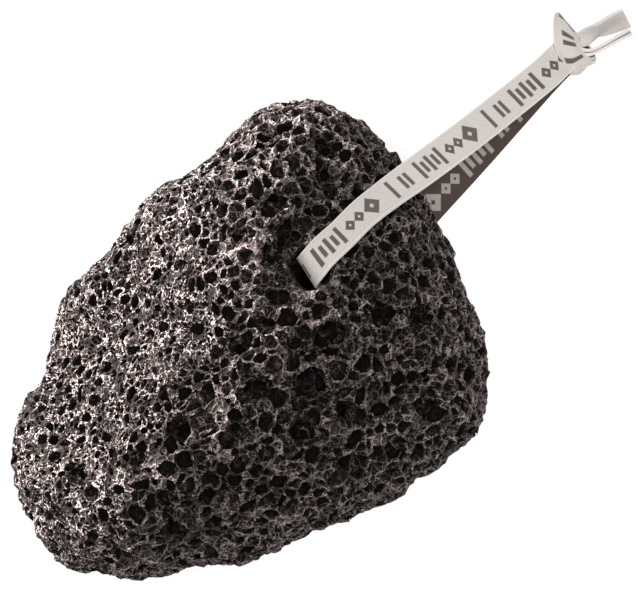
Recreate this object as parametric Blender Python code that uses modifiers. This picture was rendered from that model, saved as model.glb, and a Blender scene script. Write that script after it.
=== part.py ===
"""A lava pumice stone on a woven ribbon loop.

The stone is one natural lump, about 85 x 84 x 44 mm, with a bore drilled through it. A 6 mm ribbon
runs down the bore, comes back under the stone and ends in a knot with two short tails beside it.
The stone lies on its flat rubbing patch at z = 0. Lengths are in millimetres until they reach a mesh.
"""

import math
import random

import bmesh
import bpy
from mathutils import Matrix, Vector, noise
from mathutils.bvhtree import BVHTree

MM = 0.001

# Stone: plan radius every 15 degrees, anticlockwise from +X.
PLAN_RADII = (
    41.4, 39.6, 39.1, 39.7, 42.6, 43.7, 38.2, 31.6, 30.0, 29.0, 29.6, 32.2,
    34.4, 41.0, 47.3, 51.2, 48.6, 42.0, 38.2, 36.4, 36.4, 37.6, 41.2, 42.8,
)
EQUATOR_HEIGHT = 16.5
CREST_HEIGHT = 47.0
CREST_LINE = ((-3.7, 37.0), (-6.3, 17.6), (-1.9, 1.8), (-10.5, -14.0), (-17.8, -24.6), (-24.0, -34.0))
CREST_SOFTNESS = 4.0
LEFT_SLOPE = 0.72
RIGHT_SLOPE = 0.20
TOP_POWER = 2.6
BELLY_POWER = 2.4
BELLY_CENTRE = (-3.0, -5.0)
BELLY_DEPTH = -1.0
BELLY_RISE = 0.0055
SPHERE_LEVEL = 5
BASE_RATIO = 0.55

LUMPS = ((17.0, 2.0), (7.5, 0.9))
CALM_HEIGHT = 5.0

# Pits on the upper side: plan x, plan y, opening radius.
TOP_PITS = (
    (7.5, 18.3, 2.9), (4.8, 14.9, 1.9), (4.9, 23.5, 1.9), (3.8, 35.0, 1.9), (13.3, 33.8, 2.1),
    (13.2, 28.7, 2.0), (-0.8, 18.0, 1.9), (5.2, 7.4, 1.8), (3.0, 3.2, 1.9),
    (14.0, 1.2, 3.1), (8.4, -0.7, 2.1), (23.4, 4.9, 2.3), (29.2, 4.4, 1.9),
    (-1.8, -0.8, 2.0), (10.3, -7.6, 3.3), (16.6, -12.3, 2.2), (1.6, -8.3, 2.3),
    (9.6, -15.6, 2.5), (-1.5, -15.1, 2.0), (-11.5, -14.5, 2.4), (25.2, -18.6, 2.2),
    (17.4, -21.4, 2.2), (31.5, -12.0, 2.0), (-18.8, -20.0, 1.9),
    (-14.3, -27.0, 2.0), (-12.4, -32.4, 2.3), (-30.0, -22.8, 1.9), (-21.8, -36.2, 2.0),
)
PIT_DEPTH = 0.30
ROUND_PITS = 30
ROUND_PIT_RADII = (1.7, 3.0)
PIT_SPACING = 1.2
PIT_SEED = 12

# Bore: where its axis meets the upper side and the belly.
BORE_TOP = (10.6, 12.4, 41.0)
BORE_FOOT = (16.5, 6.5, 2.0)
BORE_RADIUS = 3.7
BORE_OVERRUN = 6.0
BORE_CLEARANCE = 3.5

# Ribbon: centre x, y, z, plan heading of its width, roll of its width (degrees).
RIBBON_WIDTH = 6.0
RIBBON_THICKNESS = 0.6
FRONT_ARM = (
    (57.5, 52.5, 5.6, -46, 0),
    (52.5, 47.5, 8.5, -46, 4),
    (45.7, 41.9, 13.2, -46, 4),
    (37.9, 35.7, 20.6, -46, 6),
    (29.7, 29.5, 28.6, -45, 12),
    (24.0, 25.3, 34.2, -45, 25),
    (19.5, 21.7, 38.5, -45, 30),
    (15.9, 18.1, 41.1, -46, 30),
    (12.8, 15.2, 42.9, -50, 27),
    (11.1, 13.2, 43.3, -55, 23),
    (10.2, 12.1, 42.2, -58, 20),
    (9.95, 11.8, 40.2, -58, 14),
)
IN_BORE = (
    (10.5, 11.3, 37.0, -54, 8),
    (12.1, 9.8, 27.0, -48, 4),
    (13.7, 8.2, 16.0, -46, 0),
    (15.2, 6.8, 6.5, -46, 0),
)
REAR_ARM = (
    (15.7, 6.5, 3.4, -46, 0),
    (16.6, 7.3, 1.7, -46, 0),
    (18.4, 9.1, 1.0, -46, 0),
    (22.0, 13.0, 0.8, -47, 0),
    (27.0, 18.5, 0.8, -48, 0),
    (32.9, 24.9, 0.8, -48, 0),
    (40.0, 32.7, 1.0, -48, 0),
    (47.0, 40.6, 1.7, -48, 0),
    (53.0, 47.4, 2.8, -47, 0),
    (57.5, 52.0, 3.6, -46, 0),
)
UPPER_TAIL = ((59.0, 52.6, 6.2, -55, 0), (62.6, 55.4, 6.6, -55, 0), (67.4, 58.2, 5.2, -55, 0))
LOWER_TAIL = ((59.5, 52.6, 3.8, -60, 80), (62.6, 52.9, 3.6, -80, 84), (68.2, 55.2, 3.5, -68, 86))
STATIONS_PER_SPAN = 3
KNOT_CENTRE = (58.2, 53.2, 4.2)
KNOT_HALF_SIZE = (5.6, 3.7, 3.6)
KNOT_TURN_DEG = -52

STONE_COLOUR = (0.105, 0.090, 0.090, 1.0)
RIBBON_COLOUR = (0.74, 0.70, 0.66, 1.0)


def clear_scene():
    for obj in list(bpy.data.objects):
        bpy.data.objects.remove(obj, do_unlink=True)


def new_collection(name):
    collection = bpy.data.collections.new(name)
    bpy.context.scene.collection.children.link(collection)
    return collection


def material(name, colour, roughness):
    made = bpy.data.materials.new(name)
    made.use_nodes = True
    shader = made.node_tree.nodes["Principled BSDF"]
    shader.inputs["Base Color"].default_value = colour
    shader.inputs["Roughness"].default_value = roughness
    shader.inputs["Metallic"].default_value = 0.0
    return made


def move_to(obj, collection):
    for owner in list(obj.users_collection):
        owner.objects.unlink(obj)
    collection.objects.link(obj)


def hide_helper(obj):
    obj.hide_render = True
    obj.display_type = "WIRE"


def catmull(a, b, c, d, t):
    """Point between b and c on a smooth curve through a, b, c and d."""
    return 0.5 * (
        2 * b + (c - a) * t + (2 * a - 5 * b + 4 * c - d) * t * t + (3 * b - a - 3 * c + d) * t * t * t
    )


def plan_radius(angle):
    place = (angle % math.tau) / math.tau * len(PLAN_RADII)
    first = int(place)
    four = [PLAN_RADII[(first + k) % len(PLAN_RADII)] for k in (-1, 0, 1, 2)]
    return catmull(*four, place - first)


def crest_x(y):
    if y >= CREST_LINE[0][1]:
        return CREST_LINE[0][0]
    for (x0, y0), (x1, y1) in zip(CREST_LINE, CREST_LINE[1:]):
        if y >= y1:
            share = (y0 - y) / (y0 - y1)
            eased = share * share * (3 - 2 * share)
            return x0 + (x1 - x0) * eased
    return CREST_LINE[-1][0]


def soft_ramp(distance):
    return CREST_SOFTNESS * math.log1p(math.exp(min(distance / CREST_SOFTNESS, 50.0)))


def crown_height(x, y):
    """Height that the upper side aims for: a soft ridge with a steep left and a gentle right flank."""
    offset = x - crest_x(y)
    return CREST_HEIGHT - LEFT_SLOPE * soft_ramp(-offset) - RIGHT_SLOPE * soft_ramp(offset)


def belly_height(x, y):
    away = (x - BELLY_CENTRE[0]) ** 2 + (y - BELLY_CENTRE[1]) ** 2
    return min(BELLY_DEPTH + BELLY_RISE * away, EQUATOR_HEIGHT - 2.0)


def stone_point(direction):
    """Carries a point of the unit sphere to the stone's smooth form."""
    flat = math.hypot(direction.x, direction.y)
    power = TOP_POWER if direction.z > 0 else BELLY_POWER
    reach = flat ** (2 / power)
    rise = abs(direction.z) ** (2 / power)
    angle = math.atan2(direction.y, direction.x)
    radius = plan_radius(angle) * reach
    x, y = radius * math.cos(angle), radius * math.sin(angle)
    goal = crown_height(x, y) if direction.z > 0 else belly_height(x, y)
    return Vector((x, y, EQUATOR_HEIGHT + rise * (goal - EQUATOR_HEIGHT)))


def lumpy(point, outward):
    """Moves a point out or in by soft noise, less so over the resting patch."""
    calm = min(1.0, 0.25 + point.z / CALM_HEIGHT)
    for size, height in LUMPS:
        point = point + outward * (calm * height * noise.noise(point / size))
    return point


def shape_stone(mesh):
    for v in mesh.vertices:
        v.co = stone_point(v.co.normalized())
    mesh.update()
    outward = [v.normal.copy() for v in mesh.vertices]
    for v, normal in zip(mesh.vertices, outward):
        v.co = lumpy(v.co.copy(), normal)


def fewer_faces(obj):
    thin = obj.modifiers.new("fewer_faces", "DECIMATE")
    thin.ratio = BASE_RATIO
    bpy.ops.object.modifier_apply(modifier=thin.name)


def centre_on_floor(mesh):
    """Puts the plan's middle on the origin and flattens the belly's lowest part at z = 0."""
    xs = [v.co.x for v in mesh.vertices]
    ys = [v.co.y for v in mesh.vertices]
    shift = Vector((-(min(xs) + max(xs)) / 2, -(min(ys) + max(ys)) / 2, 0.0))
    for v in mesh.vertices:
        v.co += shift
        v.co.z = max(v.co.z, 0.0)
        v.co *= MM
    mesh.update()


def bore_axis():
    top, foot = Vector(BORE_TOP), Vector(BORE_FOOT)
    return top, (foot - top).normalized(), (foot - top).length


def far_from_bore(point, gap):
    top, along, _ = bore_axis()
    offset = point - top
    return (offset - along * offset.dot(along)).length > gap + BORE_RADIUS


def pit_matrix(point, normal, radius, rng):
    """A slightly flattened and turned sphere that opens at the surface."""
    squash = Matrix.Diagonal((
        radius * rng.uniform(0.88, 1.12),
        radius * rng.uniform(0.88, 1.12),
        radius * rng.uniform(0.95, 1.20),
        1.0,
    ))
    turn = normal.to_track_quat("Z", "Y").to_matrix().to_4x4()
    spin = Matrix.Rotation(rng.uniform(0, math.tau), 4, "Z")
    centre = point - normal * (radius * PIT_DEPTH)
    return Matrix.Scale(MM, 4) @ Matrix.Translation(centre) @ turn @ spin @ squash


def surface_below(tree, x, y):
    hit, normal, _, _ = tree.ray_cast(Vector((x, y, 100.0)) * MM, Vector((0, 0, -1)))
    return hit / MM, normal


def top_pits(tree, rng):
    pits = []
    for x, y, radius in TOP_PITS:
        point, normal = surface_below(tree, x, y)
        pits.append((point, radius, pit_matrix(point, normal, radius, rng)))
    return pits


def round_pits(tree, taken, rng):
    """Pits on the sides and the belly, spaced from each other, the bore and the resting patch."""
    pits = []
    for _ in range(4000):
        if len(pits) == ROUND_PITS:
            break
        way = Vector((rng.gauss(0, 1), rng.gauss(0, 1), rng.uniform(-1.6, 0.9))).normalized()
        start = Vector((0.0, 0.0, EQUATOR_HEIGHT))
        hit, normal, _, _ = tree.ray_cast((start + way * 120.0) * MM, -way)
        radius = rng.uniform(*ROUND_PIT_RADII)
        if hit is None or normal.z > 0.55:
            continue
        point = hit / MM
        on_patch = point.z < 0.8 and math.hypot(point.x - BELLY_CENTRE[0], point.y - BELLY_CENTRE[1]) < 9.0
        spaced = all((point - other).length > radius + size + PIT_SPACING for other, size, _ in taken + pits)
        if spaced and not on_patch and far_from_bore(point, radius + BORE_CLEARANCE):
            pits.append((point, radius, pit_matrix(point, normal, radius, rng)))
    return pits


def pit_cutter(name, pits, level, cutters):
    bm = bmesh.new()
    for _, _, matrix in pits:
        bmesh.ops.create_icosphere(bm, subdivisions=level, radius=1.0, matrix=matrix)
    mesh = bpy.data.meshes.new(name)
    bm.to_mesh(mesh)
    bm.free()
    cutter = bpy.data.objects.new(name, mesh)
    cutters.objects.link(cutter)
    hide_helper(cutter)
    return cutter


def bore_cutter(cutters):
    top, along, length = bore_axis()
    middle = top + along * (length / 2)
    bpy.ops.mesh.primitive_cylinder_add(
        vertices=28, radius=BORE_RADIUS * MM, depth=(length + 2 * BORE_OVERRUN) * MM, location=middle * MM
    )
    cutter = bpy.context.object
    cutter.name = "bore_cutter"
    cutter.rotation_euler = along.to_track_quat("Z", "Y").to_euler()
    move_to(cutter, cutters)
    hide_helper(cutter)
    return cutter


def cut(obj, cutter):
    step = obj.modifiers.new(cutter.name, "BOOLEAN")
    step.operation = "DIFFERENCE"
    step.solver = "EXACT"
    step.use_self = True
    step.object = cutter


def join(obj, other):
    step = obj.modifiers.new(other.name, "BOOLEAN")
    step.operation = "UNION"
    step.solver = "EXACT"
    step.object = other


def build_stone(parts, cutters):
    bpy.ops.mesh.primitive_ico_sphere_add(subdivisions=SPHERE_LEVEL, radius=1.0)
    stone = bpy.context.object
    stone.name = "stone"
    shape_stone(stone.data)
    fewer_faces(stone)
    centre_on_floor(stone.data)
    move_to(stone, parts)
    tree = BVHTree.FromPolygons([v.co for v in stone.data.vertices], [p.vertices for p in stone.data.polygons])
    rng = random.Random(PIT_SEED)
    upper = top_pits(tree, rng)
    around = round_pits(tree, upper, rng)
    cut(stone, pit_cutter("upper_pits", upper, 2, cutters))
    cut(stone, pit_cutter("round_pits", around, 2, cutters))
    cut(stone, bore_cutter(cutters))
    stone.data.materials.append(material("lava_pumice", STONE_COLOUR, 0.95))
    stone.data.shade_smooth()
    stone.data.set_sharp_from_angle(angle=math.radians(35))
    return stone


def smooth_stations(stations):
    rows = [Vector(s) for s in stations]
    rows = [rows[0]] + rows + [rows[-1]]
    out = []
    for k in range(len(stations) - 1):
        for j in range(STATIONS_PER_SPAN):
            out.append(Vector(catmull(*rows[k:k + 4], j / STATIONS_PER_SPAN)))
    out.append(rows[-1])
    return out


def strip(name, stations, collection):
    """A flat band along the stations, given its thickness by Solidify."""
    rows = smooth_stations(stations)
    bpy.ops.mesh.primitive_grid_add(x_subdivisions=1, y_subdivisions=len(rows) - 1, size=1.0)
    band = bpy.context.object
    band.name = name
    ordered = sorted(band.data.vertices, key=lambda v: (round(v.co.y, 6), v.co.x))
    for k, row in enumerate(rows):
        heading, roll = math.radians(row[3]), math.radians(row[4])
        across = Vector((math.cos(heading) * math.cos(roll), math.sin(heading) * math.cos(roll), math.sin(roll)))
        middle = Vector(row[:3])
        ordered[2 * k].co = (middle - across * RIBBON_WIDTH / 2) * MM
        ordered[2 * k + 1].co = (middle + across * RIBBON_WIDTH / 2) * MM
    band.data.update()
    thick = band.modifiers.new("thickness", "SOLIDIFY")
    thick.thickness = RIBBON_THICKNESS * MM
    thick.offset = 0.0
    move_to(band, collection)
    return band


def knot_body(collection):
    bpy.ops.mesh.primitive_cube_add(size=2.0, location=Vector(KNOT_CENTRE) * MM)
    knot = bpy.context.object
    knot.name = "knot_body"
    for v in knot.data.vertices:
        v.co = Vector((v.co.x * KNOT_HALF_SIZE[0], v.co.y * KNOT_HALF_SIZE[1], v.co.z * KNOT_HALF_SIZE[2])) * MM
    knot.rotation_euler.z = math.radians(KNOT_TURN_DEG)
    rounding = knot.modifiers.new("rounding", "BEVEL")
    rounding.width = 1.6 * MM
    rounding.segments = 3
    move_to(knot, collection)
    return knot


def build_ribbon(parts, cutters):
    ribbon = strip("ribbon", FRONT_ARM + IN_BORE + REAR_ARM, parts)
    for piece in (
        knot_body(cutters),
        strip("upper_tail", UPPER_TAIL, cutters),
        strip("lower_tail", LOWER_TAIL, cutters),
    ):
        hide_helper(piece)
        join(ribbon, piece)
    ribbon.data.materials.append(material("woven_ribbon", RIBBON_COLOUR, 0.85))
    ribbon.data.shade_smooth()
    ribbon.data.set_sharp_from_angle(angle=math.radians(35))
    return ribbon


def main():
    clear_scene()
    parts = new_collection("pumice_stone")
    cutters = new_collection("pumice_stone_cutters")
    build_stone(parts, cutters)
    build_ribbon(parts, cutters)


main()
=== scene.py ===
"""A dark lava pumice stone on a woven ribbon loop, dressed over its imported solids.

The stone is cut from a rounded lump by many small cells that share thin walls, as gas bubbles do in
lava. The ribbon is one flat woven tape, cream on its face and brown on its back, wound into a knot.
"""

import math

import bmesh
import bpy
import numpy as np
from bpy.props import FloatProperty, FloatVectorProperty, IntProperty, PointerProperty
from mathutils import Matrix, Vector, kdtree
from mathutils.bvhtree import BVHTree


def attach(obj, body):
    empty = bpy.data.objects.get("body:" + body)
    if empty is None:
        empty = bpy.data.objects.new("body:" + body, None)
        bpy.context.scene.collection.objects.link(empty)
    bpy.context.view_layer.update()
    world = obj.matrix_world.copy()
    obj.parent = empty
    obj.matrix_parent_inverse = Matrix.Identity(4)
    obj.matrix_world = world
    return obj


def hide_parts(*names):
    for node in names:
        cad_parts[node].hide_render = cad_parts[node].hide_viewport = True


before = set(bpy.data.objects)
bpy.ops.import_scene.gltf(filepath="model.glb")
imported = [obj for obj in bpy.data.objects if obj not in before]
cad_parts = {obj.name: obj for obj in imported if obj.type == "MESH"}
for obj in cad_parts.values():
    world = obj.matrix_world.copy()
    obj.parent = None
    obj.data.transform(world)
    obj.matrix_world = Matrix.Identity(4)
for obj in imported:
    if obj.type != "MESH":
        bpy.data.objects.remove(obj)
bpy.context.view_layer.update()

bl_info = {
    "name": "Pumice Stone on a Ribbon",
    "version": (1, 0, 0),
    "blender": (4, 5, 0),
    "location": "3D View > Sidebar > Pumice",
    "description": "Builds a lava pumice stone with its woven ribbon loop and a plain studio",
    "category": "Object",
}

MM = 0.001

# ---------------------------------------------------------------- ribbon route
# Centre x, y, z in millimetres, then the width's plan heading and its roll in degrees. The rows of a tail
# end with the fold along its middle, in degrees.
RIBBON_ROUTE = (
    (58.0, 52.7, 4.6, -60, 0),
    (55.3, 50.2, 6.0, -50, 0),
    (52.5, 47.5, 8.5, -46, 4),
    (45.7, 41.9, 13.2, -46, 4),
    (37.9, 35.7, 20.6, -46, 6),
    (29.7, 29.5, 28.6, -45, 12),
    (24.0, 25.3, 34.2, -45, 25),
    (19.5, 21.7, 38.5, -45, 30),
    (15.9, 18.1, 41.1, -46, 30),
    (12.8, 15.2, 42.9, -50, 27),
    (11.1, 13.2, 43.3, -55, 23),
    (10.2, 12.1, 42.2, -58, 20),
    (9.95, 11.8, 40.2, -58, 14),
    (10.5, 11.3, 37.0, -54, 8),
    (12.1, 9.8, 27.0, -48, 4),
    (13.7, 8.2, 16.0, -46, 0),
    (15.2, 6.8, 6.5, -46, 0),
    (15.7, 6.5, 3.4, -46, 0),
    (16.6, 7.3, 1.7, -46, 0),
    (18.4, 9.1, 1.0, -46, 0),
    (22.0, 13.0, 0.8, -47, 0),
    (27.0, 18.5, 0.8, -48, 0),
    (32.9, 24.9, 0.8, -48, 0),
    (40.0, 32.7, 1.0, -48, 0),
    (47.0, 40.6, 1.7, -48, 0),
    (53.0, 47.4, 2.8, -47, 0),
    (57.5, 52.0, 3.6, -46, 0),
)
UPPER_TAIL_ROUTE = (
    (67.4, 58.0, 3.4, -52, -57, 4),
    (64.8, 56.8, 3.4, -46, -60, 2),
    (63.0, 55.4, 3.2, -50, -68, -12),
    (61.7, 54.1, 3.0, -58, -72, -42),
    (60.4, 53.1, 3.2, -66, -66, -70),
    (58.8, 52.6, 3.4, -66, -56, -78),
)
LOWER_TAIL_ROUTE = (
    (68.2, 55.3, 2.0, -60, 0, 80),
    (65.9, 54.1, 2.0, -60, 0, 82),
    (63.6, 52.8, 2.1, -62, 0, 83),
    (61.6, 51.8, 2.2, -72, 0, 83),
    (60.0, 51.5, 2.3, -88, 0, 82),
    (58.4, 52.0, 2.3, -84, 0, 80),
)
STATIONS_PER_SPAN = 8
LOOP_STRIPS = 8
TAIL_STRIPS = 10
CREASE_SOFTNESS = 0.05
RIBBON_SMOOTH_DEG = 50

# Knot: a sleeve that tapers from its wide rim to its narrow rim, and is wound about its own axis. Each
# rim has a centre, the plan heading of its cross-section in degrees, and half sizes in plan and in height.
KNOT_WIDE_RIM = ((54.5, 53.8, 4.1), 92.0, (6.2, 3.4))
KNOT_NARROW_RIM = ((60.2, 52.2, 3.5), 116.5, (2.2, 2.1))
KNOT_TURNS = 1.45
KNOT_START_DEG = 100.0
KNOT_LAYER_STEP = 0.75
KNOT_LIP = 1.0
KNOT_FLARE = 0.45
KNOT_BULGE = 0.70
KNOT_ROUNDING = 0.4
KNOT_EYE_TILT = 1.5
KNOT_RIM_TILT = 0.45
KNOT_UNDERCUT = 2.6
KNOT_WRINKLE = 0.17
KNOT_WRINKLES = 5
KNOT_WRINKLE_TWIST = 9
KNOT_STATIONS = 96
KNOT_STRIPS = 10

# Woven motif, in ribbon widths along the tape and across it: lozenges (place, half length, half width)
# and bars (place, half width).
MOTIF_PERIOD = 4.6
MOTIF_LOZENGES = ((0.45, 0.34, 0.34), (1.02, 0.20, 0.21), (1.42, 0.20, 0.21))
MOTIF_BARS = (
    (1.86, 0.32), (2.10, 0.20), (2.34, 0.28), (2.58, 0.20),
    (2.82, 0.32), (3.36, 0.24), (3.60, 0.24), (4.10, 0.34),
)
# Soft edges, in shares of a lozenge's size, and in ribbon widths along and across a bar.
LOZENGE_EDGE = (1.06, 0.94)
LOZENGE_HOLE = (0.18, 0.32)
BAR_EDGE = (0.085, 0.055)
BAR_END = 0.02

# Weave, across the tape (0 to 0.5 from its middle to its edge): ribs that slant to both sides of a spine,
# a dark line and a plain selvage along each edge.
HERRINGBONE_SLOPE = 2.1
WARP_THREADS = 22
SPINE = (0.03, 0.012)
EDGE_LINE = (0.400, 0.415, 0.450, 0.435)
SELVAGE = (0.435, 0.455)
SLUB_STRETCH = (32.0, 16.0)
WEAVE_HEIGHT = 0.00007

# ---------------------------------------------------------------- stone sizes
# The ridge's line in plan, the ends of the bore's axis, and how far from that axis the cells stay, in
# millimetres.
CREST_Y = (-34.0, -24.6, -14.0, 1.8, 17.6, 37.0)
CREST_X = (-24.0, -17.8, -10.5, -1.9, -6.3, -3.7)
BORE_TOP = (10.6, 12.4, 41.0)
BORE_FOOT = (16.5, 6.5, 2.0)
BORE_KEEP = 4.1

# The flank's fine cells begin this far to the right of the ridge, and are fully fine after this width.
FLANK_START = 3.0
FLANK_BLEND = 7.0

# Soft noise on the blank: name, size and height in metres.
BLANK_NOISE = (("ledges", 0.0055, 0.0024), ("knobs", 0.0020, 0.0014))
BLANK_EASE = 4

# Shares of the triangles below this height, and above it on the gentle side of the ridge and on the flank.
UNDER_HEIGHT = 13.0
TRIANGLE_SHARES = (("under", 0.27), ("gentle", 0.29), ("flank", 0.44))

# Share of the pale dust that the coarse side of the ridge lacks.
COARSE_DUST_LOSS = 0.40

# Patches of painted shade on the top, mostly along the ridge: centre x and y, radius (millimetres) and how
# dark.
PAINTED_SHADE_PATCHES = (
    (-2.3, 1.8, 6.5, 0.60),
    (6.1, 1.0, 5.0, 0.40),
    (-11.1, -7.6, 7.0, 0.65),
    (-19.7, -17.1, 7.0, 0.45),
    (-11.1, -17.1, 5.5, 0.45),
    (-12.0, -32.6, 8.0, 0.65),
)

# Large cells that open on the upper side: plan x, plan y, radius of the opening. Neighbours eat into
# them, so that the bubble itself is a little larger.
LARGE_CELL_SWELL = 1.20
LARGE_CELLS = (
    (16.5, 31.5, 1.6), (9.5, 26.5, 1.6), (8.5, 36.0, 1.5), (5.5, 29.5, 1.6), (0.0, 32.0, 1.6),
    (3.5, 27.5, 1.5), (-6.0, 16.0, 1.6), (-8.5, 19.0, 1.4), (6.0, 10.5, 1.7), (7.0, 4.5, 2.0),
    (20.5, 5.0, 1.5), (0.0, 0.5, 1.5), (11.0, -3.0, 1.5), (22.0, -4.0, 1.5), (25.5, -6.5, 1.4),
    (5.5, -9.5, 2.1), (11.0, -12.5, 1.8), (-12.5, -17.5, 1.7), (22.0, -21.5, 1.8), (22.5, -15.0, 1.5),
    (29.5, -17.0, 1.4), (-25.0, -4.5, 1.5), (-29.5, -9.5, 1.5), (-34.0, -17.0, 1.5), (-27.0, -26.0, 1.4),
    (-24.5, -29.5, 1.5), (-35.0, -30.5, 1.4), (-16.0, 11.5, 1.2), (-20.0, -1.5, 1.2), (-14.0, -8.5, 1.5),
    (-10.5, -8.5, 1.3), (-9.0, 2.0, 1.2), (26.5, 15.0, 1.5), (30.0, 10.0, 1.5), (33.0, -3.0, 1.5),
    (-5.5, 5.5, 1.4), (-6.0, 10.5, 1.3), (-16.5, 1.0, 1.1), (-2.5, 16.5, 1.2), (-2.5, 11.5, 1.1),
    (-27.0, 0.0, 1.1), (-17.0, 6.5, 1.0), (-12.5, 0.5, 1.0), (-23.5, -1.5, 1.0), (-25.0, 9.5, 1.0),
    (-18.0, 15.0, 0.9), (-11.5, 6.0, 0.9), (-31.0, -22.0, 1.2), (-21.0, -12.5, 1.1), (-29.0, -15.0, 1.1),
)
LARGE_CELL_SINK = 0.30

# Tries, smallest and largest radius in millimetres, share of that size and of those tries on the
# fine flank, and how near two cells may come (1 is touching).
CELL_PASSES = (
    (3500, 1.5, 2.3, 0.62, 0.40, 0.66),
    (9000, 1.05, 1.5, 0.60, 0.60, 0.66),
    (18000, 0.72, 1.05, 0.60, 1.00, 0.68),
    (36000, 0.46, 0.72, 0.66, 1.00, 0.70),
    (36000, 0.32, 0.46, 0.80, 1.00, 0.72),
)
DEEPEST_SINK = 0.55
LEAST_FIT = 0.85

# Small cells in the walls of the larger ones: tries, most cells, radii and least radius in millimetres,
# how near two may come, and the least wall between them in metres.
SMALL_TRIES = 26000
SMALL_MOST = 8000
SMALL_RADII = (0.20, 0.46)
SMALL_LEAST = 0.18
SMALL_SINK = 0.3
SMALL_OVERLAP = 0.95
SMALL_WALL = 0.00006

# A cell's shape: how far it swells past its packed size, how deep it goes (in radii), how flat it may be,
# and how uneven its floor is. A cell that its neighbours close in to less than this share of its radius is
# left out. Cells above the last radius, in metres, get the finer ball.
SWELL = 1.45
SMALL_SWELL = 1.1
DEPTHS = (0.55, 1.00)
SMALL_DEPTHS = (0.6, 1.0)
SQUASH_LEAST = (0.55, 0.75, 0.90)
SQUASH_MOST = (1.0, 1.0, 1.15)
FLOOR_UNEVEN = 0.35
CLOSED_IN = 0.15
FINE_BALL_RADIUS = 0.0011

# Smooth bends of space that pull the cells out of round: wavelength, shift (in metres), number of waves.
SWIRLS = ((0.0030, 0.00034, 14), (0.0085, 0.00070, 10))
SWIRL_SEED = 11
STONE_SEED = 5

# Rings of directions that test how open a point is: how steep they are and how many. Then how far they
# look, and how far off the skin they start, in metres.
SKY_RINGS = ((0.85, 5), (0.50, 7))
SKY_REACH = 0.007
SKY_START = 0.00004
STONE_SMOOTH_DEG = 32

# Stone finish. Scales are in waves per metre. A pair of numbers is where a share starts and where it is
# full, and two more are the shares there. The coarse face and the fine flank each have their own.
BEND_SCALE = 1500.0
BEND = 0.00045
FILM_SCALE = 640.0
THREAD_SCALE = 1150.0
GRIT_SCALE = 2600.0
PATCH_SCALE = 330.0
FILM_LINE = (0.085, 0.030)
FILM_PIT = (0.20, 0.0)
THREAD_LINE = (0.045, 0.016)
THREAD_PIT = (0.12, 0.0)
THREAD_LINE_SHARE = 0.75
THREAD_PIT_SHARE = 0.6
# Openness paints light and shade: dust and lava darken where a point sees less sky (painted shade), and
# rims pale where it sees all of it (painted highlight as well as dust). The rims' pale share is for the
# coarse face, then the fine flank.
DUST_BY_OPENNESS = (0.25, 0.82, 0.04, 1.1)
LAVA_BY_OPENNESS = (0.30, 0.95)
RIM_BY_OPENNESS = (0.84, 1.0)
RIM_DUST_AND_HIGHLIGHT = (0.20, 0.04)
GRIT_ON_FACE = (0.32, 0.60, 0.40, 1.15)
GRIT_ON_FLANK = (0.40, 0.58, 0.05, 1.35)
PATCH_ON_FACE = (0.36, 0.64, 0.38, 1.12)
PATCH_ON_FLANK = (0.39, 0.61, 0.08, 1.30)
# The next one spreads the coarse side's dust loss and the painted shade patches over the noise patches.
DUST_LOSS_AND_SHADE_BY_PATCH = (0.65, 0.35, 0.6, 1.3)
PIT_DEPTH = 0.00032
GRIT_HEIGHT = 0.00010

# ---------------------------------------------------------------- studio sizes
# The camera looks straight down. Its view is this wide at this distance, in millimetres.
VIEW_WIDTH = 112.288
VIEW_DISTANCE = 600.0
SENSOR_WIDTH = 36.0
CAMERA_PLACE = (0.012, 0.0078, 0.618)
FLOOR_SIZE = 5.0
FLOOR_GREYS = (0.88, 0.91)
STONE_MIDDLE = (0.0, 0.0, 0.02)
KEY_DISTANCE = 1.2
KEY_SIZE = 0.30
FILL_PLACE = (0.05, 0.05, 1.5)
FILL_SIZE = 1.2
FLOOR_LIGHT_PLACE = (0.012, 0.0078, 2.0)
FLOOR_LIGHT_AIM = (0.012, 0.0078, 0.0)
FLOOR_LIGHT_SIZE = 2.2
GLOW_PLACE = (0.16, 0.02, 0.93)
GLOW_AIM = (0.05, 0.045, 0.01)
GLOW_SIZE = 0.35
SKY_COLOUR = (1.0, 0.99, 0.98, 1.0)
SKY_STRENGTH = 0.12


class StoneSettings(bpy.types.PropertyGroup):
    """Sizes and colours of the pumice stone."""

    voxel: FloatProperty(
        name="Blank mesh size", description="Mesh size of the lump before the cells are cut",
        default=0.0007, min=0.0004, max=0.002, unit="LENGTH", precision=5,
    )
    wall: FloatProperty(
        name="Cell wall", description="Least thickness of stone left between two cells",
        default=0.00009, min=0.00005, max=0.001, unit="LENGTH", precision=5,
    )
    roughness: FloatProperty(
        name="Cell roughness", description="How far a cell's wall departs from a clean bubble",
        default=0.24, min=0.0, max=0.5, subtype="FACTOR",
    )
    triangles: IntProperty(
        name="Triangles", description="Triangles that the stone is thinned to, at most",
        default=190000, min=20000, max=199000,
    )
    # Pale colour of the dust on films and threads; it is also put onto open rims as a painted highlight.
    dust_and_rim_light_colour: FloatVectorProperty(
        name="Rims", description="Colour of the worn rims between the cells",
        subtype="COLOR", default=(0.820, 0.680, 0.650), min=0.0, max=1.0,
    )
    lava_colour: FloatVectorProperty(
        name="Lava", description="Colour of the lava on the cells' walls",
        subtype="COLOR", default=(0.024, 0.0170, 0.0142), min=0.0, max=1.0,
    )
    # Painted shade: the lava turns to this colour where a point sees little sky, at the bottom of deep
    # cells.
    deep_shade_colour: FloatVectorProperty(
        name="Deep cells", description="Colour at the bottom of deep cells",
        subtype="COLOR", default=(0.008, 0.0053, 0.0042), min=0.0, max=1.0,
    )


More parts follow.
